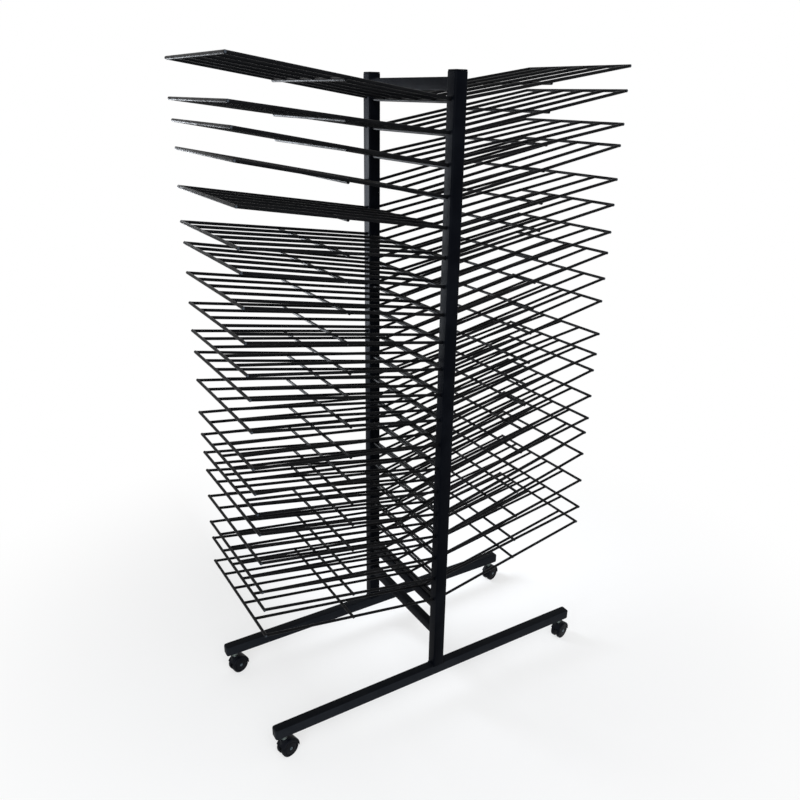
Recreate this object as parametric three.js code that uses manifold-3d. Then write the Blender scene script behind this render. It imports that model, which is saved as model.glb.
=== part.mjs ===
// Double-sided art drying rack on casters. Millimetres, +Z up, floor at Z = 0.
// X runs along the feet, Y from the front post to the rear post.
import * as THREE from "three";
import { mergeVertices } from "three/addons/utils/BufferGeometryUtils.js";
import Module from "manifold-3d";

const wasm = await Module();
wasm.setup();

// Frame
const POST_SPACING = 340;
const POST_SIDE = 30;
const POST_TOP = 1520;
const TUBE_WALL = 2;
const POST_CORNER = 4;
const FOOT_CORNER = 2.5;
const BAR_CORNER = 2.5;
const CAP_THICKNESS = 3;
const PLUG_LENGTH = 12;
const PLUG_ROUND = 5;
const FOOT_LENGTH = 914;
const FOOT_WIDTH = 25;
const FOOT_HEIGHT = 28;
const FOOT_BOTTOM = 66;
const FOOT_TOP = FOOT_BOTTOM + FOOT_HEIGHT;
const BAR_WIDTH = 20;
const BAR_HEIGHT = 25;
const TOP_BAR_Z = 1482;
const LOWER_BAR_Z = 262;
const BOTTOM_BAR_Z = 182;
const GAP = 0.3;

// Shelves
const SHELVES_PER_SIDE = 20;
const TOP_SHELF_Z = 1466;
const SHELF_PITCH = 61.5;
const SHELF_ROOT_X = 4;
const SHELF_LENGTH = 465;
const SHELF_WIDTH = POST_SPACING;
const LONG_WIRES = 6;
const WIRE = 6;
const MID_WIRE = 226;
const SIDE_WIRE_START = 3;
const WIRE_HOLE = WIRE + 2 * GAP;

// How steeply each shelf rises, top to bottom, in degrees
const LEFT_RISE = [
  8.3, 6.8, 9.4, 10.4, 8.6, 7.3, 9.4, 9, 8.3, 8,
  9.4, 8.6, 6.3, 6.9, 8.6, 10.2, 9.1, 7.7, 9.5, 8.7,
];
const RIGHT_RISE = [
  9.2, 10.6, 9.6, 11.6, 10, 10.5, 10.3, 11.9, 11.8, 12.5,
  9.6, 10.7, 13.1, 11.9, 11.8, 14.5, 14.4, 11.9, 9.2, 11.2,
];

// Twin-wheel casters
const STEM_INSET = 24;
const REST_SWIVEL = 15;
const CASTER_TRAIL = 10;
const WHEEL_RADIUS = 23;
const WHEEL_INNER_Y = 4.6;
const WHEEL_OUTER_Y = 14;
const AXLE_RADIUS = 3.5;
const HOOD_RADIUS = 26.5;
const HOOD_CLEARANCE = 24.2;
const HOOD_WIDTH = 30;
const WEB_WIDTH = 8;
const BOSS_RADIUS = 10;
const BOSS_BOTTOM = 36;
const BOSS_TOP = 55;
const STEM_RADIUS = 4;
const STEM_BOTTOM = 48;
const COLLAR_RADIUS = 8;
const TURNS = 8;
const WHEEL_TURNS = 16;

// Materials
const FINISHES = {
  black_powder_coat: { color: 0x17181a, metalness: 0.2, roughness: 0.4 },
  black_wire: { color: 0x141414, metalness: 0.3, roughness: 0.35 },
  black_nylon: { color: 0x1b1c1d, metalness: 0, roughness: 0.5 },
  black_tread: { color: 0x202122, metalness: 0, roughness: 0.7 },
  zinc_steel: { color: 0xa9adb0, metalness: 0.9, roughness: 0.3 },
};

const rack = new THREE.Group();
rack.name = "art_drying_rack";

// A closed solid from a geometry
function solid(geometry) {
  const bare = geometry.index ? geometry.toNonIndexed() : geometry.clone();
  for (const key of Object.keys(bare.attributes)) {
    if (key !== "position") bare.deleteAttribute(key);
  }
  const merged = mergeVertices(bare, 1e-4);
  return new wasm.Manifold(
    new wasm.Mesh({
      numProp: 3,
      vertProperties: merged.attributes.position.array,
      triVerts: new Uint32Array(merged.index.array),
    }),
  );
}

// A geometry from a closed solid
function skin(made) {
  const out = made.asOriginal().simplify(0.001).getMesh();
  const geometry = new THREE.BufferGeometry();
  geometry.setAttribute("position", new THREE.BufferAttribute(out.vertProperties, 3));
  geometry.setIndex(new THREE.BufferAttribute(out.triVerts, 1));
  return geometry;
}

// One named piece with its finish
function piece(name, geometry, finish) {
  const bare = geometry.clone();
  bare.computeVertexNormals();
  const mesh = new THREE.Mesh(bare, new THREE.MeshStandardMaterial(FINISHES[finish]));
  mesh.name = name;
  rack.add(mesh);
  return mesh;
}

// A box from its low corner to its high corner
function box(low, high) {
  const size = high.map((value, i) => value - low[i]);
  const made = new THREE.BoxGeometry(...size);
  made.translate(...low.map((value, i) => value + size[i] / 2));
  return made;
}

// A rectangle with rounded corners, drawn in by an inset
function roundedOutline(width, height, corner, inset, kind) {
  const w = width / 2 - inset;
  const h = height / 2 - inset;
  const r = corner - inset;
  const path = new kind();
  path.absarc(w - r, h - r, r, 0, Math.PI / 2, false);
  path.absarc(r - w, h - r, r, Math.PI / 2, Math.PI, false);
  path.absarc(r - w, r - h, r, Math.PI, 1.5 * Math.PI, false);
  path.absarc(w - r, r - h, r, 1.5 * Math.PI, 2 * Math.PI, false);
  return path;
}

// A shape pushed out along Z
function extruded(shape, depth, curveSegments = 1) {
  return new THREE.ExtrudeGeometry(shape, { depth, bevelEnabled: false, curveSegments });
}

// A straight rod along Z with rounded corners
function rod(width, height, corner, length) {
  return extruded(roundedOutline(width, height, corner, 0, THREE.Shape), length);
}

// A straight tube along Z, open at both ends
function tube(width, height, corner, length) {
  const shape = roundedOutline(width, height, corner, 0, THREE.Shape);
  shape.holes.push(roundedOutline(width, height, corner, TUBE_WALL, THREE.Path));
  return extruded(shape, length);
}

// A round bore along Y whose flats stand clear of a pin
function bore(pin, length, turns) {
  const radius = (pin + GAP) / Math.cos(Math.PI / turns);
  return new THREE.CylinderGeometry(radius, radius, length, turns);
}

// Where a shelf meets the posts, and how it is turned there
function shelfPlace(side, level) {
  const rise = THREE.MathUtils.degToRad((side < 0 ? LEFT_RISE : RIGHT_RISE)[level]);
  const turn = side < 0 ? Math.PI : 0;
  return new THREE.Matrix4()
    .makeTranslation(side * SHELF_ROOT_X, 0, TOP_SHELF_Z - level * SHELF_PITCH)
    .multiply(new THREE.Matrix4().makeRotationZ(turn))
    .multiply(new THREE.Matrix4().makeRotationY(-rise));
}

// A post: square tube, capped at the top, with an angled hole for each side wire
function post(name, y) {
  const bottom = FOOT_TOP + GAP;
  const walls = tube(POST_SIDE, POST_SIDE, POST_CORNER, POST_TOP - bottom);
  const cap = rod(POST_SIDE, POST_SIDE, POST_CORNER, CAP_THICKNESS);
  let made = solid(walls.translate(0, y, bottom));
  made = made.add(solid(cap.translate(0, y, POST_TOP - CAP_THICKNESS)));
  for (const side of [-1, 1]) {
    for (let level = 0; level < SHELVES_PER_SIDE; level += 1) {
      const hole = new THREE.BoxGeometry(10, WIRE_HOLE, WIRE_HOLE);
      hole.translate(POST_SIDE / 2 - SHELF_ROOT_X, 0, 0);
      hole.applyMatrix4(shelfPlace(side, level));
      hole.translate(0, y, 0);
      made = made.subtract(solid(hole));
    }
  }
  piece(name, skin(made), "black_powder_coat");
}

// A foot: tube with rounded end plugs and a hole near each end for a caster stem
function foot(name, y) {
  const end = FOOT_LENGTH / 2;
  const middle = FOOT_BOTTOM + FOOT_HEIGHT / 2;
  const lay = (geometry, x) => {
    geometry.rotateX(Math.PI / 2).rotateZ(Math.PI / 2);
    return solid(geometry.translate(x, y, middle));
  };
  const plug = rod(FOOT_WIDTH, FOOT_HEIGHT, FOOT_CORNER, PLUG_LENGTH);
  let made = lay(tube(FOOT_WIDTH, FOOT_HEIGHT, FOOT_CORNER, FOOT_LENGTH), -end);
  made = made.add(lay(plug.clone(), -end));
  made = made.add(lay(plug.clone(), end - PLUG_LENGTH));
  const side = extruded(roundedOutline(FOOT_LENGTH, FOOT_HEIGHT, PLUG_ROUND, 0, THREE.Shape), FOOT_WIDTH);
  made = made.intersect(solid(side.rotateX(Math.PI / 2).translate(0, y + FOOT_WIDTH / 2, middle)));
  for (const x of [STEM_INSET - end, end - STEM_INSET]) {
    const hole = bore(STEM_RADIUS, 10, TURNS);
    hole.rotateX(Math.PI / 2);
    made = made.subtract(solid(hole.translate(x, y, FOOT_BOTTOM)));
  }
  piece(name, skin(made), "black_powder_coat");
}

// A cross bar: open tube between the two posts
function crossBar(name, z) {
  const length = POST_SPACING - POST_SIDE - 2 * GAP;
  const bar = tube(BAR_WIDTH, BAR_HEIGHT, BAR_CORNER, length);
  bar.rotateX(Math.PI / 2);
  bar.translate(0, length / 2, z + BAR_HEIGHT / 2);
  piece(name, skin(solid(bar)), "black_powder_coat");
}

// Shelf: six long wires, an outer wire, a middle wire and an inner wire between the posts
function shelfSolid() {
  const r = WIRE / 2;
  const side = SHELF_WIDTH / 2;
  const reach = (POST_SPACING - POST_SIDE) / 2 - GAP;
  const wire = (start, end, low, high) => solid(box([start, low, -r], [end, high, r]));
  let made = wire(-r, r, -reach, reach);
  for (let i = 0; i < LONG_WIRES; i += 1) {
    const y = -side + (i * SHELF_WIDTH) / (LONG_WIRES - 1);
    const start = Math.abs(y) < reach ? 0 : SIDE_WIRE_START;
    made = made.add(wire(start, SHELF_LENGTH, y - r, y + r));
  }
  made = made.add(wire(MID_WIRE - r, MID_WIRE + r, -side - r, side + r));
  return made.add(wire(SHELF_LENGTH - WIRE, SHELF_LENGTH, -side - r, side + r));
}

function shelves() {
  const flat = skin(shelfSolid());
  for (const side of [-1, 1]) {
    for (let level = 0; level < SHELVES_PER_SIDE; level += 1) {
      const number = String(level + 1).padStart(2, "0");
      const name = (side < 0 ? "shelf_left_" : "shelf_right_") + number;
      const made = flat.clone().applyMatrix4(shelfPlace(side, level));
      piece(name, made, "black_wire");
    }
  }
}

// A round pin or disc standing along Z
function turned(points, turns) {
  const profile = points.map(([r, z]) => new THREE.Vector2(r, z));
  const made = new THREE.LatheGeometry(profile, turns);
  made.rotateX(Math.PI / 2);
  return made;
}

// Caster hood: arched cover, centre web and stem boss, bored for the stem and the axle
function hoodSolid() {
  const start = THREE.MathUtils.degToRad(-8);
  const end = THREE.MathUtils.degToRad(152);
  const arch = new THREE.Shape();
  arch.absarc(0, 0, HOOD_RADIUS, start, end, false);
  arch.absarc(0, 0, HOOD_CLEARANCE, end, start, true);
  const web = new THREE.Shape();
  web.moveTo(0, 0);
  web.absarc(0, 0, HOOD_CLEARANCE + 1, start, end, false);
  const hub = new THREE.Shape();
  hub.absarc(0, 0, AXLE_RADIUS + 5, 0, 2 * Math.PI, false);
  const plate = (shape, width) => {
    const made = extruded(shape, width, 5);
    made.rotateX(Math.PI / 2);
    made.translate(CASTER_TRAIL, width / 2, WHEEL_RADIUS);
    return solid(made);
  };
  const boss = new THREE.CylinderGeometry(BOSS_RADIUS, BOSS_RADIUS, BOSS_TOP - BOSS_BOTTOM, TURNS);
  boss.rotateX(Math.PI / 2);
  boss.translate(0, 0, (BOSS_TOP + BOSS_BOTTOM) / 2);
  let made = solid(boss);
  for (const side of [-1, 1]) {
    const room = new THREE.CylinderGeometry(HOOD_CLEARANCE, HOOD_CLEARANCE, 40, WHEEL_TURNS);
    room.translate(CASTER_TRAIL, side * (20 + WEB_WIDTH / 2), 0);
    room.translate(0, 0, WHEEL_RADIUS);
    made = made.subtract(solid(room));
  }
  made = made.add(plate(arch, HOOD_WIDTH));
  made = made.add(plate(web, WEB_WIDTH));
  made = made.add(plate(hub, WEB_WIDTH));
  const depth = BOSS_TOP + 5 - STEM_BOTTOM;
  const stemBore = bore(STEM_RADIUS, depth, TURNS);
  stemBore.rotateX(Math.PI / 2);
  stemBore.translate(0, 0, STEM_BOTTOM - GAP + depth / 2);
  const axleBore = bore(AXLE_RADIUS, 60, TURNS);
  axleBore.translate(CASTER_TRAIL, 0, WHEEL_RADIUS);
  return made.subtract(solid(stemBore)).subtract(solid(axleBore));
}

// Twin wheels on one axle
function wheelsGeometry() {
  const tread = WHEEL_RADIUS / Math.cos(Math.PI / WHEEL_TURNS);
  const half = [
    [AXLE_RADIUS, WHEEL_INNER_Y],
    [tread, WHEEL_INNER_Y],
    [tread, WHEEL_OUTER_Y - 2.5],
    [tread - 2, WHEEL_OUTER_Y],
    [tread - 7, WHEEL_OUTER_Y],
    [tread - 9, WHEEL_OUTER_Y - 2],
    [0, WHEEL_OUTER_Y - 2],
  ];
  const lower = half.map(([r, y]) => [r, -y]).reverse();
  const made = turned([...lower, ...half], WHEEL_TURNS);
  made.rotateZ(Math.PI / WHEEL_TURNS);
  made.rotateX(-Math.PI / 2);
  made.translate(CASTER_TRAIL, 0, WHEEL_RADIUS);
  return made;
}

// Stem pressed into the foot, with a collar under it
function stemGeometry() {
  const top = FOOT_TOP - TUBE_WALL - 2;
  const profile = [
    [0, STEM_BOTTOM],
    [STEM_RADIUS, STEM_BOTTOM],
    [STEM_RADIUS, BOSS_TOP + GAP],
    [COLLAR_RADIUS, BOSS_TOP + GAP],
    [COLLAR_RADIUS, FOOT_BOTTOM - GAP],
    [STEM_RADIUS, FOOT_BOTTOM - GAP],
    [STEM_RADIUS, top],
    [0, top],
  ];
  return turned(profile, TURNS);
}

function casters() {
  const swivel = THREE.MathUtils.degToRad(REST_SWIVEL);
  const hood = skin(hoodSolid()).rotateZ(swivel);
  const wheels = wheelsGeometry().rotateZ(swivel);
  const stem = stemGeometry();
  const out = FOOT_LENGTH / 2 - STEM_INSET;
  for (const [row, y] of [["front", -POST_SPACING / 2], ["rear", POST_SPACING / 2]]) {
    for (const [end, x] of [["left", -out], ["right", out]]) {
      const name = "caster_" + row + "_" + end;
      piece(name + "_stem", stem.clone().translate(x, y, 0), "zinc_steel");
      piece(name + "_hood", hood.clone().translate(x, y, 0), "black_nylon");
      piece(name + "_wheels", wheels.clone().translate(x, y, 0), "black_tread");
    }
  }
}

post("front_post", -POST_SPACING / 2);
post("rear_post", POST_SPACING / 2);
foot("front_foot", -POST_SPACING / 2);
foot("rear_foot", POST_SPACING / 2);
crossBar("top_cross_bar", TOP_BAR_Z);
crossBar("lower_cross_bar", LOWER_BAR_Z);
crossBar("bottom_cross_bar", BOTTOM_BAR_Z);
shelves();
casters();

export default rack;
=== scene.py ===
"""Looks for a double-sided art drying rack: black coated tube and wire on four hooded twin-wheel casters.

Metres, +Z up, the floor at Z = 0. X runs along the feet, Y from the front post to the rear post.
"""

import math

import bmesh
import bpy
from mathutils import Matrix, Vector


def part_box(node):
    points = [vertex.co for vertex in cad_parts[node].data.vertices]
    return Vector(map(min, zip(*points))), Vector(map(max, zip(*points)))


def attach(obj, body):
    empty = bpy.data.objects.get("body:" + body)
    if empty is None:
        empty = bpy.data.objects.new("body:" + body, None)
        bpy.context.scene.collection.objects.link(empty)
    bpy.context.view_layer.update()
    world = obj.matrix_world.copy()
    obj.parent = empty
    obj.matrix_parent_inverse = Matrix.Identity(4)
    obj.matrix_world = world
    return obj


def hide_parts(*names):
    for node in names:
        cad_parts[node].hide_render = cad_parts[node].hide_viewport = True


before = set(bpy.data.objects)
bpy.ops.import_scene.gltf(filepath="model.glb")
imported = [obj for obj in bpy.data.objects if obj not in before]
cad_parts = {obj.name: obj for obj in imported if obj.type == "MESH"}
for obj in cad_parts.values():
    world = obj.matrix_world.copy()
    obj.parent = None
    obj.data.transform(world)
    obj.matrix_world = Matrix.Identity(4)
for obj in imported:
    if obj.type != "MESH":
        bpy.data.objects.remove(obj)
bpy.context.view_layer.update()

SHELF_NODES = [node for node in sorted(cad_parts) if node.startswith("shelf_")]

# Photograph's view
CAMERA_PLACE = (-0.9246, -1.4947, 1.4720)
CAMERA_YAW = 0.5585
CAMERA_DOWN = 0.3995
CAMERA_ROLL = 0.0176
CAMERA_SENSOR = 36
CAMERA_LENS = 34.42
CAMERA_SHIFT = (-0.0111, 0.0231)
CAMERA_FAR = 100

# Hair's breadth between two pieces, or of one sunk in another
HAIR = 0.0003

# Shelves
WIRE = 0.0068
SOLID_WIRE = 0.006
WIRE_SIDES = 12
WIRE_BEVEL = 0.0007
SHELF_LENGTH = 0.465
SHELF_WIDTH = 0.340
LONG_WIRES = 6
SIDE_WIRE_START = 0.003
MID_WIRE = 0.2385
OUTER_WIRE = SHELF_LENGTH - WIRE / 2
OUTER_OVERHANG = 0.0004
OUTER_HALF = SHELF_WIDTH / 2 + WIRE / 2 + OUTER_OVERHANG
WELD_SINK = 0.003
UNDER_WIRE = WELD_SINK - WIRE
END_WELD = (0.0036, 0.0047, 0.0031)
END_WELD_BACK = 0.0025
CROSS_WELD = (0.0037, 0.0037, 0.0017)
CUT_RADIUS = 0.0025
CUT_CROWN_RADIUS = 0.0020
CUT_DEPTH = 0.0004
CUT_CROWN = 0.0002

# Tubes
POST_CORNER = 0.004
POST_EDGE = 0.0008
FOOT_CORNER = 0.0025
FOOT_EDGE = 0.0006
BAR_CORNER = 0.0025
CORNER_STEPS = 5
BEAD = 0.0025
BEAD_SINK = 0.0008
BEAD_STEPS = 4

# Post caps, as (height, growth) pairs
CAP_HEIGHT = 0.003
CAP_PROFILE = (
    (0.0002, -0.0012),
    (0.0006, -0.0003),
    (CAP_HEIGHT * 0.6, -0.0003),
    (CAP_HEIGHT * 0.9, -0.0014),
    (CAP_HEIGHT, -0.0032),
)

# Rims of the wire holes
RIM_GAP = 0.0006
RIM_WIDTH = 0.0010
RIM_HEIGHT = 0.0009
RIM_STEPS = 12
RIM_SIDES = 6

# Foot plugs
PLUG_ROUND = 0.005
PLUG_FALL = PLUG_ROUND * 0.9
PLUG_DRAW = 0.004
PLUG_SHY = 0.0004
PLUG_GAP = 0.001
PLUG_DEPTH = 0.002
PLUG_INSET = 0.001
PLUG_STEPS = 8

# Caster hoods
CASTER_TURN = math.radians(15)
CASTER_TRAIL = 0.010
HOOD_RADIUS = 0.0262
HOOD_INNER = 0.0243
HOOD_WIDTH = 0.030
HOOD_SHOULDER = 0.003
SHOULDER_STEPS = 5
HOOD_FROM = math.radians(-8)
HOOD_TO = math.radians(152)
HOOD_STEPS = 28
WEB_WIDTH = 0.008
WEB_OVERLAP = 0.0008
HUB_RADIUS = 0.0085
HUB_STEPS = 12
BOSS_RADIUS = 0.0098
BOSS_TOP = 0.055
BOSS_EDGE = 0.002
BOSS_STEPS = 32
BOSS_FLARE = ((0.0016, 0.0), (0.0010, 0.0011), (0.0003, 0.0024), (0.0, 0.0042))
BORE_DEPTH = 0.003
BORE_MOUTH = 0.0015
BORE_CLEAR = 0.0008

# Caster wheels
WHEEL_RADIUS = 0.023
WHEEL_INNER = 0.0046
WHEEL_OUTER = 0.014
WHEEL_STEPS = 48
BACK_RIM = 0.004
BACK_EDGE = 0.0012
FACE_EDGE = 0.0026
GROOVE_DEPTH = 0.0006
GROOVE_MOUTH = 0.0007
GROOVE_FLOOR = 0.0004
AXLE_RADIUS = 0.0035
AXLE_OVERLAP = 0.001
AXLE_STEPS = 24

# A wheel's sunk ring, then its hub, as (radius, depth) pairs
SUNK_RING = ((0.0180, 0.0), (0.0173, 0.0012), (0.0160, 0.0014), (0.0153, 0.0006), (0.0120, 0.0001))
HUB_RING = ((0.0072, 0.0), (0.0064, 0.0009), (0.0054, 0.0009), (0.0050, 0.0004), (0.0026, 0.0004))

# The axle's end, as (radius, height) pairs
AXLE_CAP = ((0.0042, -0.0007), (0.0042, -0.0002), (0.0034, 0.0003), (0.0014, 0.0006))

# Caster stems
STEM_RADIUS = 0.004
STEM_BOTTOM = 0.001
STEM_BOTTOM_CONE = 0.0005
STEM_TOP = 0.003
STEM_TOP_CONE = 0.001
STEM_STEPS = 32
WASHER_HEIGHT = 0.0014
WASHER_EDGE = 0.0004
NUT_RADIUS = 0.0078
NUT_CHAMFER = 0.0009
NUT_FACE = 0.98
NUT_STEPS = 36

# Colours
BLACK = (0, 0, 0, 1)
WHITE = (1, 1, 1, 1)
COAT_DEEP = (0.0010, 0.0014, 0.0026, 1)
COAT_WORN = (0.0026, 0.0032, 0.0048, 1)
# The feet's shades are the same black coat drawn lighter: painted light bounced up from the floor.
FOOT_DEEP_PAINTED_BOUNCE = (0.0078, 0.0090, 0.0115, 1)
FOOT_WORN_PAINTED_BOUNCE = (0.0110, 0.0124, 0.0152, 1)
# Painted shade for faces that look up; it darkens the tops of the lighter feet most.
COAT_TOP_PAINTED_SHADE = (0.0016, 0.0019, 0.0026, 1)
DUST = (0.016, 0.0155, 0.015, 1)
WIRE_DEEP = (0.0016, 0.0018, 0.0024, 1)
WIRE_WORN = (0.0032, 0.0033, 0.0038, 1)
# Greyer tops of the wires: a painted sheen, with some dust.
WIRE_TOP_DUST_AND_SHEEN = (0.0125, 0.0122, 0.0124, 1)
NYLON_DEEP = (0.0020, 0.0026, 0.0042, 1)
NYLON_WORN = (0.0042, 0.0050, 0.0072, 1)
TREAD_DEEP = (0.0020, 0.0026, 0.0042, 1)
TREAD_SCUFFED = (0.0065, 0.0074, 0.0094, 1)
CUT_DARK = (0.026, 0.031, 0.038, 1)
CUT_LIGHT = (0.046, 0.054, 0.064, 1)
STEM_DULL = (0.10, 0.125, 0.12, 1)
STEM_BRIGHT = (0.19, 0.22, 0.21, 1)
AXLE_DULL = (0.065, 0.085, 0.10, 1)
AXLE_BRIGHT = (0.10, 0.13, 0.15, 1)
FLOOR_GREY = (0.82, 0.82, 0.82, 1)
ROOM_LIGHT = (0.55, 0.55, 0.55, 1)

# Stage
FLOOR_HALF = 40
FLOOR_FADE = (0.5, 1.6)
NEAR_WHITE = 0.6

# Sockets of a node that blends two colours
MIX_FACTOR = 0
MIX_FIRST = 6
MIX_SECOND = 7
MIX_RESULT = 2

# Sharp edges
SHARP_FROM = math.radians(38)


class Signal:
    """A shader socket that takes part in Python sums."""

    def __init__(self, tree, socket=None):
        self.tree = tree
        self.socket = socket

    def node(self, kind, settings=None, inputs=None, output=0):
        """Adds a node: its type, its settings, then the values or links of its sockets."""
        made = self.tree.nodes.new("ShaderNode" + kind)
        for name, value in (settings or {}).items():
            setattr(made, name, value)
        for name, value in (inputs or {}).items():
            self.feed(made.inputs[name], value)
        return Signal(self.tree, made.outputs[output])

    def feed(self, plug, value):
        """Links a signal to a socket, or sets the socket to a constant."""
        if isinstance(value, Signal):
            self.tree.links.new(value.socket, plug)
        else:
            plug.default_value = value

    def math(self, operation, other):
        return self.node("Math", {"operation": operation}, {0: self, 1: other})

    def __add__(self, other):
        return self.math("ADD", other)

    __radd__ = __add__

    def __mul__(self, other):
        return self.math("MULTIPLY", other)

    def between(self, low, high):
        """0 below low, 1 above high, smooth in between."""
        settings = {"interpolation_type": "SMOOTHSTEP"}
        return self.node("MapRange", settings, {"Value": self, "From Min": low, "From Max": high})

    def blend(self, first, second):
        """A colour between two colours, by this signal."""
        settings = {"data_type": "RGBA"}
        inputs = {MIX_FACTOR: self, MIX_FIRST: first, MIX_SECOND: second}
        return self.node("Mix", settings, inputs, output=MIX_RESULT)


# Finishes
class Finish:
    """A new material, its shader, and the signals that most finishes share."""

    def __init__(self, name):
        self.material = bpy.data.materials.new(name)
        self.material.use_nodes = True
        tree = self.material.node_tree
        self.shader = tree.nodes["Principled BSDF"]
        self.start = Signal(tree)
        self.place = self.start.node("TexCoord", output="Object")

    def noise(self, scale, detail=3.0, roughness=0.55):
        inputs = {"Vector": self.place, "Scale": scale, "Detail": detail, "Roughness": roughness}
        return self.start.node("TexNoise", {}, inputs)

    def facing_up(self):
        normal = self.start.node("NewGeometry", output="Normal")
        return self.start.node("SeparateXYZ", {}, {"Vector": normal}, output="Z")

    def set(self, name, value):
        self.start.feed(self.shader.inputs[name], value)

    def bump(self, height, strength, distance):
        inputs = {"Height": height, "Strength": strength, "Distance": distance}
        self.set("Normal", self.start.node("Bump", {}, inputs))


def powder_coat(name, deep, worn):
    """Satin black coat between a deep and a worn shade, with fine orange peel, a painted shade on faces
    that look up, and a little dust on top.
    """
    finish = Finish(name)
    cloud = finish.noise(scale=14.0).between(0.35, 0.7)
    speck = finish.noise(scale=420.0, detail=2.0)
    peel = finish.noise(scale=900.0, detail=2.0, roughness=0.5)
    up = finish.facing_up().between(0.5, 1.0)
    dust = up * finish.noise(scale=60.0, detail=4.0).between(0.4, 0.75)
    # Faces that look up are pulled toward a painted top shade.
    paint_with_shaded_top = (up * 0.70).blend(cloud.blend(deep, worn), COAT_TOP_PAINTED_SHADE)
    finish.set("Base Color", (dust * 0.10).blend(paint_with_shaded_top, DUST))
    finish.set("Roughness", 0.36 + cloud * 0.10 + dust * 0.16 + speck * 0.06)
    finish.set("Specular IOR Level", 0.02)
    finish.bump(peel + speck * 0.4, strength=0.12, distance=0.0004)
    return finish.material


def wire_coat():
    """Thin black coat, a little greyer on top: a painted sheen mixed with some dust on the upward faces.
    """
    finish = Finish("black_wire_coat")
    cloud = finish.noise(scale=30.0).between(0.35, 0.7)
    peel = finish.noise(scale=1400.0, detail=2.0)
    up = finish.facing_up().between(0.5, 1.0)
    # Upward faces of the wires get a painted sheen with some dust.
    finish.set("Base Color", (up * 0.4).blend(cloud.blend(WIRE_DEEP, WIRE_WORN), WIRE_TOP_DUST_AND_SHEEN))
    finish.set("Roughness", 0.36 + cloud * 0.12)
    finish.set("Specular IOR Level", 0.05)
    finish.bump(peel, strength=0.10, distance=0.0003)
    return finish.material


def moulded_nylon():
    """Black moulded plastic with a fine grain."""
    finish = Finish("black_moulded_nylon")
    cloud = finish.noise(scale=90.0).between(0.3, 0.75)
    grain = finish.noise(scale=1800.0, detail=2.0)
    finish.set("Base Color", cloud.blend(NYLON_DEEP, NYLON_WORN))
    finish.set("Roughness", 0.30 + cloud * 0.12 + grain * 0.06)
    finish.set("Specular IOR Level", 0.05)
    finish.bump(grain, strength=0.10, distance=0.0003)
    return finish.material


def wheel_tread():
    """Black wheels with scuffs."""
    finish = Finish("black_wheel_tread")
    scuff = finish.noise(scale=140.0, detail=5.0, roughness=0.65).between(0.45, 0.75)
    grain = finish.noise(scale=1500.0, detail=2.0)
    finish.set("Base Color", scuff.blend(TREAD_DEEP, TREAD_SCUFFED))
    finish.set("Roughness", 0.38 + scuff * 0.22)
    finish.set("Specular IOR Level", 0.05)
    finish.bump(grain + scuff * 0.5, strength=0.14, distance=0.0003)
    return finish.material


def cut_steel():
    """Dull bare steel where a wire was cut."""
    finish = Finish("bare_cut_steel")
    saw = finish.noise(scale=1600.0)
    finish.set("Base Color", saw.between(0.35, 0.65).blend(CUT_DARK, CUT_LIGHT))
    finish.set("Roughness", 0.55 + saw * 0.2)
    finish.set("Specular IOR Level", 0.08)
    finish.bump(saw, strength=0.2, distance=0.0002)
    return finish.material


def plated_steel(name, dull, bright):
    """Plated metal between a dull and a bright shade."""
    finish = Finish(name)
    cloud = finish.noise(scale=120.0).between(0.3, 0.7)
    finish.set("Base Color", cloud.blend(dull, bright))
    finish.set("Roughness", 0.24 + cloud * 0.16)
    finish.set("Metallic", 1.0)
    finish.bump(finish.noise(scale=900.0), strength=0.08, distance=0.0002)
    return finish.material


COATED = powder_coat("black_powder_coat", COAT_DEEP, COAT_WORN)
# The feet get a lighter copy of the coat, which is painted floor bounce light.
FOOT_COAT_PAINTED_BOUNCE = powder_coat("black_foot_coat_painted_bounce", FOOT_DEEP_PAINTED_BOUNCE, FOOT_WORN_PAINTED_BOUNCE)
WIRED = wire_coat()
MOULDED = moulded_nylon()
TREAD = wheel_tread()
PLATED = plated_steel("plated_stem_steel", STEM_DULL, STEM_BRIGHT)
AXLE_STEEL = plated_steel("dull_axle_steel", AXLE_DULL, AXLE_BRIGHT)
CUT_STEEL = cut_steel()


# Meshes
def finish_piece(name, shell, material, body, slot, *nodes):
    """Turns a bmesh into a piece that rides on a body and stands for CAD nodes."""
    bmesh.ops.recalc_face_normals(shell, faces=shell.faces)
    mesh = bpy.data.meshes.new(name)
    shell.to_mesh(mesh)
    shell.free()
    mesh.materials.append(material)
    for polygon in mesh.polygons:
        polygon.use_smooth = True
    mesh.set_sharp_from_angle(angle=SHARP_FROM)
    piece = bpy.data.objects.new(name, mesh)
    bpy.context.scene.collection.objects.link(piece)
    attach(piece, body)
    if nodes:
        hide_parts(*nodes)


def loft(shell, rings, closed=False):
    """Skins rings of points, with a cap at each end unless the rings close on themselves."""
    loops = [[shell.verts.new(point) for point in ring] for ring in rings]
    pairs = list(zip(loops, loops[1:]))
    if closed:
        pairs.append((loops[-1], loops[0]))
    else:
        shell.faces.new(loops[0])
        shell.faces.new(loops[-1])
    for first, second in pairs:
        count = len(first)
        for i in range(count):
            j = (i + 1) % count
            shell.faces.new((first[i], first[j], second[j], second[i]))


def around(steps):
    """Evenly spaced angles of a full turn."""
    return [2 * math.pi * i / steps for i in range(steps)]


def turned(shell, profile, to_point, steps):
    """Turns a profile of (radius, along) pairs round an axis, capped at both ends."""
    rings = []
    for radius, along in profile:
        rings.append([to_point(radius * math.cos(a), radius * math.sin(a), along) for a in around(steps)])
    loft(shell, rings)


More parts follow.
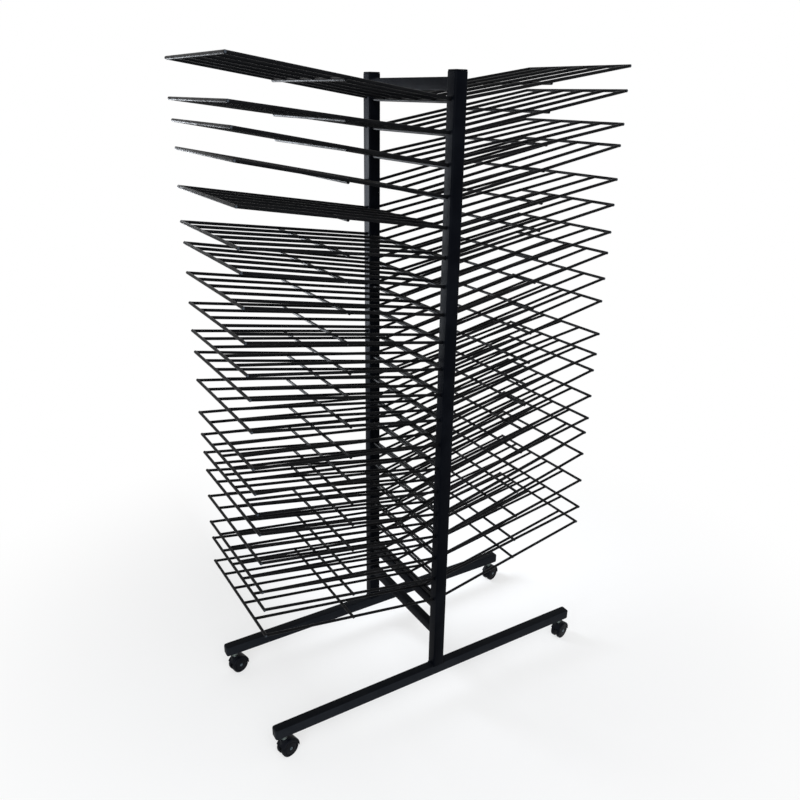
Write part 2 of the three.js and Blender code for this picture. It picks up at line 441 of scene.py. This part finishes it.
def arc(centre_radius, centre_along, radius, start, end, steps=6):
    """Points of a rounded edge of a turned profile, between two angles in degrees."""
    points = []
    for i in range(steps + 1):
        angle = math.radians(start + (end - start) * i / steps)
        points.append((centre_radius + radius * math.cos(angle), centre_along + radius * math.sin(angle)))
    return points


def rounded_outline(width, height, corner, grow=0.0):
    """Corner-rounded rectangle as (across, up) pairs."""
    radius = corner + grow
    points = []
    for quarter in range(4):
        turn = quarter * math.pi / 2
        across = (width / 2 - corner) * (1 if quarter in (0, 3) else -1)
        up = (height / 2 - corner) * (1 if quarter in (0, 1) else -1)
        for step in range(CORNER_STEPS + 1):
            angle = turn + step * math.pi / 2 / CORNER_STEPS
            points.append((across + radius * math.cos(angle), up + radius * math.sin(angle)))
    return points


def wire(shell, start, end):
    """A straight round wire with softly cut ends."""
    start, end = Vector(start), Vector(end)
    length = (end - start).length
    ahead = (end - start).normalized()
    side = ahead.orthogonal().normalized()
    up = ahead.cross(side)
    tip = (WIRE / 2 - WIRE_BEVEL, 0), (WIRE / 2, WIRE_BEVEL)
    profile = tip + tuple((radius, length - along) for radius, along in reversed(tip))
    turned(shell, profile, lambda a, b, along: start + ahead * along + side * a + up * b, WIRE_SIDES)


def weld_spot(shell, centre, size):
    """A small flattened blob of weld."""
    place = Matrix.Translation(centre) @ Matrix.Diagonal((*size, 1))
    bmesh.ops.create_uvsphere(shell, u_segments=8, v_segments=6, radius=1, matrix=place)


# Shelves
def shelf_shell():
    """Six long wires welded end on to an outer wire, over a middle and an inner wire."""
    shell = bmesh.new()
    side = SHELF_WIDTH / 2
    _, post_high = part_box("front_post")
    reach = -post_high.y - HAIR
    cross_wires = (0, UNDER_WIRE, reach), (MID_WIRE, UNDER_WIRE, side), (OUTER_WIRE, 0, OUTER_HALF)
    for x, lift, half in cross_wires:
        wire(shell, (x, -half, lift), (x, half, lift))
    for i in range(LONG_WIRES):
        y = -side + i * SHELF_WIDTH / (LONG_WIRES - 1)
        inner = abs(y) < reach
        wire(shell, (-WIRE / 2 if inner else SIDE_WIRE_START, y, 0), (OUTER_WIRE, y, 0))
        weld_spot(shell, (OUTER_WIRE - END_WELD_BACK, y, 0), END_WELD)
        for x in (0, MID_WIRE) if inner else (MID_WIRE,):
            weld_spot(shell, (x, y, UNDER_WIRE / 2), CROSS_WELD)
    return shell


def cut_ends(shell, place):
    """Bare cut ends of a shelf's outer wire."""
    profile = (CUT_RADIUS, -CUT_DEPTH), (CUT_RADIUS, 0), (CUT_CROWN_RADIUS, CUT_CROWN)

    def at_end(way):
        return lambda across, up, out: place @ Vector((OUTER_WIRE + across, way * (OUTER_HALF + out), up))

    for way in (-1, 1):
        turned(shell, profile, at_end(way), WIRE_SIDES)


def shelf_side(node):
    """Which way along X a shelf points."""
    return -1 if "left" in node else 1


def shelf_place(node):
    """Where a shelf's root line is and how it is tilted, worked out from the solid's box."""
    low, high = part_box(node)
    radius = SOLID_WIRE / 2
    long, thick = SHELF_LENGTH + radius, SOLID_WIRE
    width, height = high.x - low.x, high.z - low.z
    tilt = math.atan2(long * height - thick * width, long * width - thick * height)
    inset = radius * (math.cos(tilt) + math.sin(tilt))
    rightwards = shelf_side(node) > 0
    root = Vector((low.x + inset if rightwards else high.x - inset, 0, low.z + inset))
    turn = Matrix.Rotation(0 if rightwards else math.pi, 4, "Z")
    return Matrix.Translation(root) @ turn @ Matrix.Rotation(-tilt, 4, "Y")


def shelves():
    """Every shelf, and the bare ends of all the outer wires as one piece."""
    flat, ends = shelf_shell(), bmesh.new()
    for node in SHELF_NODES:
        place = shelf_place(node)
        shell = flat.copy()
        shell.transform(place)
        finish_piece(node + "_wires", shell, WIRED, "frame", "black_wire", node)
        cut_ends(ends, place)
    flat.free()
    finish_piece("shelf_wire_ends", ends, CUT_STEEL, "frame", "zinc_steel")


# Frame
def grown(point, amount):
    """A point of an outline moved outwards."""
    across, up = point
    length = math.hypot(across, up)
    return across * (1 + amount / length), up * (1 + amount / length)


def bead(shell, outline, to_point):
    """A fillet of weld around a tube's end: to_point places an outline's point, moved along the tube."""
    profile = []
    for step in range(BEAD_STEPS + 1):
        angle = step * math.pi / 2 / BEAD_STEPS
        profile.append((BEAD * (1 - math.sin(angle)), BEAD * (1 - math.cos(angle))))
    profile += [(-BEAD_SINK, BEAD), (-BEAD_SINK, 0)]
    rings = []
    for swell, along in profile:
        rings.append([to_point(*grown(point, swell), along) for point in outline])
    loft(shell, rings, closed=True)


def wire_seat(shell, node, y, half):
    """The raised rim of the hole that a shelf's side wire goes into."""
    side = shelf_side(node)
    place = shelf_place(node)
    start = place.to_translation()
    along = place.to_3x3() @ Vector((1, 0, 0))
    z = start.z + along.z / abs(along.x) * (half - abs(start.x))
    rings = []
    for turn in around(RIM_STEPS):
        ring = []
        for angle in around(RIM_SIDES):
            radius = WIRE / 2 + RIM_GAP + RIM_WIDTH * (1 + math.cos(angle)) / 2
            x = side * (half + RIM_HEIGHT * math.sin(angle))
            ring.append(Vector((x, y + radius * math.cos(turn), z + radius * math.sin(turn))))
        rings.append(ring)
    loft(shell, rings, closed=True)


def post(node):
    """A capped square tube, welded to its foot, with a rim round each wire hole."""
    low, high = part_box(node)
    centre = (low + high) / 2
    side = high.x - low.x
    shell = bmesh.new()

    def ring(z, grow=0.0):
        outline = rounded_outline(side, side, POST_CORNER, grow)
        return [Vector((centre.x + a, centre.y + b, z)) for a, b in outline]

    top = high.z - CAP_HEIGHT
    loft(shell, [ring(low.z), ring(top - POST_EDGE), ring(top, -POST_EDGE)])
    loft(shell, [ring(top + z, grow) for z, grow in CAP_PROFILE])

    def at_foot(a, b, along):
        return Vector((centre.x + a, centre.y + b, low.z - HAIR + along))

    foot_low, foot_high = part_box(node.replace("post", "foot"))
    half = (foot_high.y - foot_low.y) / 2
    seat = [(a, max(-half, min(half, b))) for a, b in rounded_outline(side, side, POST_CORNER)]
    bead(shell, seat, at_foot)
    for shelf in SHELF_NODES:
        wire_seat(shell, shelf, centre.y, side / 2)
    finish_piece(node + "_tube", shell, COATED, "frame", "black_powder_coat", node)


def foot(node):
    """A rectangular tube with a domed plug in each end."""
    low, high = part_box(node)
    centre = (low + high) / 2
    width, height = high.y - low.y, high.z - low.z
    outline = rounded_outline(width, height, FOOT_CORNER)
    shell = bmesh.new()

    def ring(x, drop=0.0, draw=0.0):
        shrink_y, shrink_z = 1 - 2 * draw / width, 1 - 2 * drop / height
        return [Vector((x, centre.y + a * shrink_y, centre.z + b * shrink_z)) for a, b in outline]

    plug_from = PLUG_ROUND + PLUG_GAP
    start, stop = low.x + plug_from, high.x - plug_from
    tube = [ring(start, FOOT_EDGE, FOOT_EDGE), ring(start + FOOT_EDGE)]
    tube += [ring(stop - FOOT_EDGE), ring(stop, FOOT_EDGE, FOOT_EDGE)]
    loft(shell, tube)
    for end, way in ((low.x, 1), (high.x, -1)):
        plug = [ring(end + way * (plug_from + PLUG_DEPTH), PLUG_INSET, PLUG_INSET)]
        for step in range(PLUG_STEPS + 1):
            angle = step * math.pi / 2 / PLUG_STEPS
            along = PLUG_ROUND * (1 - math.sin(angle))
            fall = 1 - math.cos(angle)
            plug.append(ring(end + way * along, PLUG_FALL * fall, PLUG_SHY + PLUG_DRAW * fall))
        loft(shell, plug)
    finish_piece(node + "_tube", shell, FOOT_COAT_PAINTED_BOUNCE, "frame", "black_powder_coat", node)


def cross_bar(node):
    """A rectangular tube welded between the posts."""
    low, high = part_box(node)
    centre = (low + high) / 2
    outline = rounded_outline(high.x - low.x, high.z - low.z, BAR_CORNER)
    shell = bmesh.new()
    loft(shell, [[Vector((centre.x + a, y, centre.z + b)) for a, b in outline] for y in (low.y, high.y)])

    def at_post(end, way):
        return lambda a, b, along: Vector((centre.x + a, end + way * along, centre.z + b))

    bead(shell, outline, at_post(low.y, 1))
    bead(shell, outline, at_post(high.y, -1))
    finish_piece(node + "_tube", shell, COATED, "frame", "black_powder_coat", node)


# Casters
def round_axle(radius, angle, y):
    """A place at a radius and angle round the axle, measured from the foot of the stem."""
    return Vector((CASTER_TRAIL + radius * math.cos(angle), y, WHEEL_RADIUS + radius * math.sin(angle)))


def hood_angles():
    """Angles round the axle from one end of the hood to the other."""
    return [HOOD_FROM + (HOOD_TO - HOOD_FROM) * i / HOOD_STEPS for i in range(HOOD_STEPS + 1)]


def hood_arch(shell):
    """The arched cover: a thin channel with rounded shoulders swept round the axle."""
    half = HOOD_WIDTH / 2
    thick = HOOD_RADIUS - HOOD_INNER
    tight = HOOD_SHOULDER - thick
    outer, inner = [], []
    for step in range(SHOULDER_STEPS + 1):
        angle = math.pi / 2 * step / SHOULDER_STEPS
        across, rise = 1 - math.cos(angle), 1 - math.sin(angle)
        outer.append((half - HOOD_SHOULDER * across, HOOD_RADIUS - HOOD_SHOULDER * rise))
        inner.append((half - thick - tight * across, HOOD_INNER - tight * rise))
    outer = [(-y, r) for y, r in outer] + list(reversed(outer))
    inner = inner + [(-y, r) for y, r in reversed(inner)]
    loft(shell, [[round_axle(r, angle, y) for y, r in outer + inner] for angle in hood_angles()])


def hood_web(shell):
    """The plate between the wheels, from the arch down to the axle."""
    edge = [(HOOD_INNER + WEB_OVERLAP, angle) for angle in hood_angles()]
    for i in range(HUB_STEPS + 1):
        edge.append((HUB_RADIUS, HOOD_TO + (2 * math.pi + HOOD_FROM - HOOD_TO) * i / HUB_STEPS))
    loft(shell, [[round_axle(r, angle, y) for r, angle in edge] for y in (-WEB_WIDTH / 2, WEB_WIDTH / 2)])


def hood_boss(shell):
    """The round neck that turns on the stem, flared where it grows out of the arch."""
    middle = (HOOD_RADIUS + HOOD_INNER) / 2
    bore = BOSS_TOP - BORE_DEPTH
    rings = []
    for flare, lift in BOSS_FLARE:
        ring = []
        for angle in around(BOSS_STEPS):
            x = (BOSS_RADIUS + flare) * math.cos(angle)
            y = (BOSS_RADIUS + flare) * math.sin(angle)
            z = WHEEL_RADIUS + math.sqrt(middle**2 - (x - CASTER_TRAIL) ** 2) + lift
            ring.append(Vector((x, y, min(z, bore))))
        rings.append(ring)
    rim = arc(BOSS_RADIUS - BOSS_EDGE, BOSS_TOP - BOSS_EDGE, BOSS_EDGE, 0, 90)
    rim += [(STEM_RADIUS + BORE_MOUTH, BOSS_TOP), (STEM_RADIUS + BORE_CLEAR, bore)]
    for radius, z in rim:
        rings.append([Vector((radius * math.cos(a), radius * math.sin(a), z)) for a in around(BOSS_STEPS)])
    loft(shell, rings)


def caster_hood(name, place):
    """The moulded hood: arch, web and boss."""
    shell = bmesh.new()
    hood_arch(shell)
    hood_web(shell)
    hood_boss(shell)
    shell.transform(place)
    finish_piece(name + "_hood_shell", shell, MOULDED, name + "_hood_body", "black_nylon", name + "_hood")


def wheel_profile():
    """One wheel from its back round to its hub: grooved tread, sunk ring and hub ring."""
    middle = (WHEEL_INNER + WHEEL_OUTER) / 2
    groove = WHEEL_RADIUS - GROOVE_DEPTH
    profile = [(AXLE_RADIUS, WHEEL_INNER), (WHEEL_RADIUS - BACK_RIM, WHEEL_INNER)]
    profile += arc(WHEEL_RADIUS - BACK_EDGE, WHEEL_INNER + BACK_EDGE, BACK_EDGE, -90, 0, 4)
    profile += [(WHEEL_RADIUS, middle - GROOVE_MOUTH), (groove, middle - GROOVE_FLOOR)]
    profile += [(groove, middle + GROOVE_FLOOR), (WHEEL_RADIUS, middle + GROOVE_MOUTH)]
    profile += arc(WHEEL_RADIUS - FACE_EDGE, WHEEL_OUTER - FACE_EDGE, FACE_EDGE, 0, 90)
    return profile + [(radius, WHEEL_OUTER - depth) for radius, depth in SUNK_RING + HUB_RING]


def on_axle(way):
    """Gives places round the axle and along it, to one side or the other."""
    return lambda a, b, along: Vector((CASTER_TRAIL + a, way * along, WHEEL_RADIUS + b))


def caster_wheels(name, place):
    """Two wheels on one axle with bright ends."""
    shell, ends = bmesh.new(), bmesh.new()
    profile = wheel_profile()
    cap = [(radius, WHEEL_OUTER + height) for radius, height in AXLE_CAP]
    for way in (-1, 1):
        turned(shell, profile, on_axle(way), WHEEL_STEPS)
        turned(ends, cap, on_axle(way), AXLE_STEPS)
    half = WHEEL_INNER + AXLE_OVERLAP
    turned(shell, [(AXLE_RADIUS, -half), (AXLE_RADIUS, half)], on_axle(1), AXLE_STEPS)
    body = name + "_wheel_body"
    for part in (shell, ends):
        part.transform(place)
    finish_piece(name + "_wheel_pair", shell, TREAD, body, "black_tread", name + "_wheels")
    finish_piece(name + "_axle_ends", ends, AXLE_STEEL, body, "zinc_steel")


def upright(a, b, along):
    """A place on an upright axis through the stem."""
    return Vector((a, b, along))


def nut(shell, low, high):
    """A six-sided nut with chamfered corners."""
    flat = NUT_RADIUS * math.cos(math.pi / 6)
    face = flat * NUT_FACE
    levels = (low, face), (low + NUT_CHAMFER, NUT_RADIUS), (high - NUT_CHAMFER, NUT_RADIUS), (high, face)
    rings = []
    for z, limit in levels:
        ring = []
        for angle in around(NUT_STEPS):
            corner = (angle + math.pi / 6) % (math.pi / 3) - math.pi / 6
            radius = min(flat / math.cos(math.pi / 6 - abs(corner)), limit)
            ring.append(upright(radius * math.cos(angle), radius * math.sin(angle), z))
        rings.append(ring)
    loft(shell, rings)


def caster_stem(name, place):
    """A plated stem with a washer and a nut under the foot."""
    low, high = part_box(name + "_stem")
    foot_low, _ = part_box(name.split("_")[1] + "_foot")
    seat = BOSS_TOP + HAIR
    nut_from = seat + WASHER_HEIGHT
    shell = bmesh.new()
    pin = [(STEM_BOTTOM, low.z), (STEM_RADIUS, low.z + STEM_BOTTOM_CONE)]
    pin += [(STEM_RADIUS, high.z - STEM_TOP_CONE), (STEM_TOP, high.z)]
    turned(shell, pin, upright, STEM_STEPS)
    washer = [(STEM_RADIUS, seat)]
    washer += arc(NUT_RADIUS - WASHER_EDGE, seat + WASHER_EDGE, WASHER_EDGE, -90, 0, 3)
    washer += arc(NUT_RADIUS - WASHER_EDGE, nut_from - WASHER_EDGE, WASHER_EDGE, 0, 90, 3)
    washer += [(STEM_RADIUS, nut_from)]
    turned(shell, washer, upright, STEM_STEPS)
    nut(shell, nut_from, foot_low.z - HAIR)
    shell.transform(place)
    finish_piece(name + "_stem_pin", shell, PLATED, "frame", "zinc_steel", name + "_stem")


def casters():
    """All four casters, each on its own stem and turned a little."""
    for row in ("front", "rear"):
        for end in ("left", "right"):
            name = "caster_" + row + "_" + end
            low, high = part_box(name + "_stem")
            stem = Vector(((low.x + high.x) / 2, (low.y + high.y) / 2, 0))
            place = Matrix.Translation(stem) @ Matrix.Rotation(CASTER_TURN, 4, "Z")
            caster_hood(name, place)
            caster_wheels(name, place)
            caster_stem(name, place)


# Stage
def seen_directly(start):
    """1 for what the eye, a mirror or glass sees, 0 for light that falls on the rack."""
    kinds = ("Is Camera Ray", "Is Glossy Ray", "Is Transmission Ray")
    eye, mirror, glass = (start.node("LightPath", output=kind) for kind in kinds)
    return eye + mirror + glass


def floor():
    """A pale floor that runs out into plain white away from the rack."""
    finish = Finish("pale_floor")
    far = finish.start.node("VectorMath", {"operation": "LENGTH"}, {0: finish.place}, output="Value")
    far = far.between(*FLOOR_FADE)
    white = (NEAR_WHITE + far * (1 - NEAR_WHITE)) * seen_directly(finish.start)
    finish.set("Base Color", white.blend(FLOOR_GREY, BLACK))
    finish.set("Emission Color", white.blend(BLACK, WHITE))
    finish.set("Emission Strength", 1.0)
    finish.set("Roughness", 0.9)
    finish.set("Specular IOR Level", 0.0)
    shell = bmesh.new()
    bmesh.ops.create_grid(shell, x_segments=1, y_segments=1, size=FLOOR_HALF)
    mesh = bpy.data.meshes.new("studio_floor")
    shell.to_mesh(mesh)
    shell.free()
    mesh.materials.append(finish.material)
    plane = bpy.data.objects.new("studio_floor", mesh)
    bpy.context.scene.collection.objects.link(plane)


def lamp(name, place, aim, size, power, colour):
    """A rectangular lamp that the camera does not see."""
    light = bpy.data.lights.new(name, "AREA")
    light.shape = "RECTANGLE"
    light.size, light.size_y = size
    light.energy = power
    light.color = colour
    holder = bpy.data.objects.new(name, light)
    holder.location = place
    holder.rotation_euler = (Vector(aim) - Vector(place)).to_track_quat("-Z", "Y").to_euler()
    holder.visible_camera = False
    bpy.context.scene.collection.objects.link(holder)


def lights():
    """A soft lamp in front, a card behind for the left faces, a cool card at the left and an even room."""
    lamp(
        "front_softbox",
        place=(-1.0, -2.3, 2.4),
        aim=(0, 0, 0.7),
        size=(2.4, 2.4),
        power=66,
        colour=(0.97, 0.98, 1.0),
    )
    lamp(
        "left_card",
        place=(-0.45, 0.75, 1.05),
        aim=(0.55, 0.75, 1.2),
        size=(0.7, 0.7),
        power=42,
        colour=(0.88, 0.93, 1.0),
    )
    lamp(
        "window_card",
        place=(-2.0, -1.4, 1.0),
        aim=(0, 0, 0.8),
        size=(0.5, 1.7),
        power=18,
        colour=(0.80, 0.92, 1.0),
    )
    world = bpy.data.worlds.new("studio")
    world.use_nodes = True
    bpy.context.scene.world = world
    start = Signal(world.node_tree)
    room = world.node_tree.nodes["Background"]
    start.feed(room.inputs["Color"], seen_directly(start).blend(ROOM_LIGHT, WHITE))


def camera():
    """The camera that took the photograph."""
    data = bpy.data.cameras.new("photo_camera")
    data.sensor_width = CAMERA_SENSOR
    data.lens = CAMERA_LENS
    data.shift_x, data.shift_y = CAMERA_SHIFT
    data.clip_end = CAMERA_FAR
    yaw, down = CAMERA_YAW, CAMERA_DOWN
    ahead = Vector((math.sin(yaw) * math.cos(down), math.cos(yaw) * math.cos(down), -math.sin(down)))
    level = Vector((math.cos(yaw), -math.sin(yaw), 0))
    above = level.cross(ahead)
    right = level * math.cos(CAMERA_ROLL) + above * math.sin(CAMERA_ROLL)
    up = above * math.cos(CAMERA_ROLL) - level * math.sin(CAMERA_ROLL)
    turn = Matrix((right, up, -ahead)).transposed().to_4x4()
    holder = bpy.data.objects.new("photo_camera", data)
    holder.matrix_world = Matrix.Translation(CAMERA_PLACE) @ turn
    bpy.context.scene.collection.objects.link(holder)
    bpy.context.scene.camera = holder


camera()
shelves()
for node in ("front_post", "rear_post"):
    post(node)
for node in ("front_foot", "rear_foot"):
    foot(node)
for node in ("top_cross_bar", "lower_cross_bar", "bottom_cross_bar"):
    cross_bar(node)
casters()
floor()
lights()
bpy.context.scene.view_settings.view_transform = "Standard"
